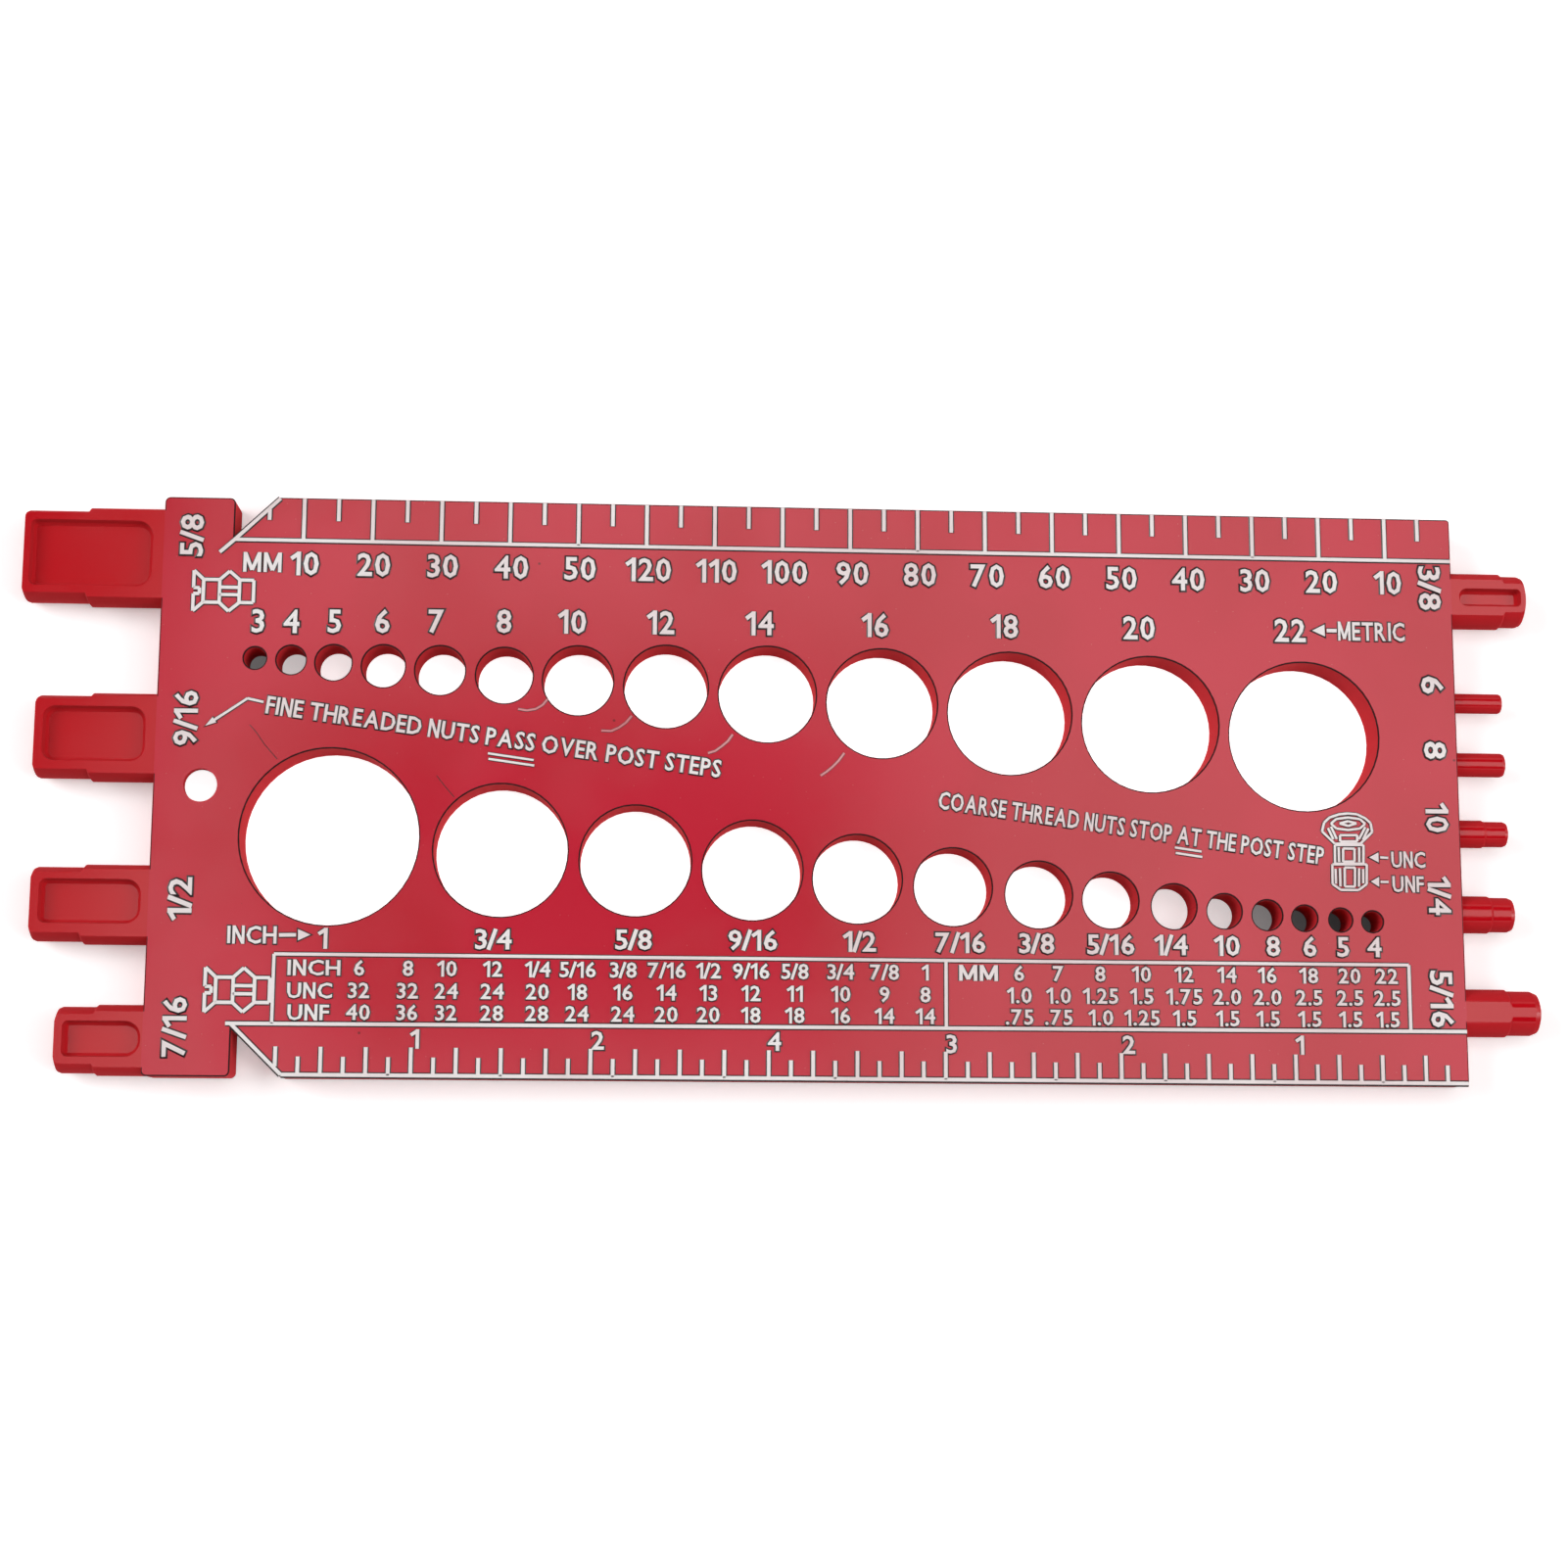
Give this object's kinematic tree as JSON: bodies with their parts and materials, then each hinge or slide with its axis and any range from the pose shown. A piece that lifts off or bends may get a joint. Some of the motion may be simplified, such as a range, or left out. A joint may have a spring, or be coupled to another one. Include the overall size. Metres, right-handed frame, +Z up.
{
  "type": "nut and bolt gauge",
  "caption": "Flat red plastic gauge plate with rows of round sizing holes, stepped posts on both ends for nuts, and a metric and an inch scale along its long edges.",
  "frame": {"origin": "middle of the rectangular body, posts left out, on the resting back face", "axes": "+X along the plate towards the end with the thin round posts, +Y towards the metric scale, +Z up out of the printed face"},
  "size_m": [0.2216, 0.0842, 0.0063],
  "materials": {
    "red_plastic": "glossy moulded"
  },
  "bodies": {
    "root": {"gauge": "red_plastic"}
  },
  "joints": []
}
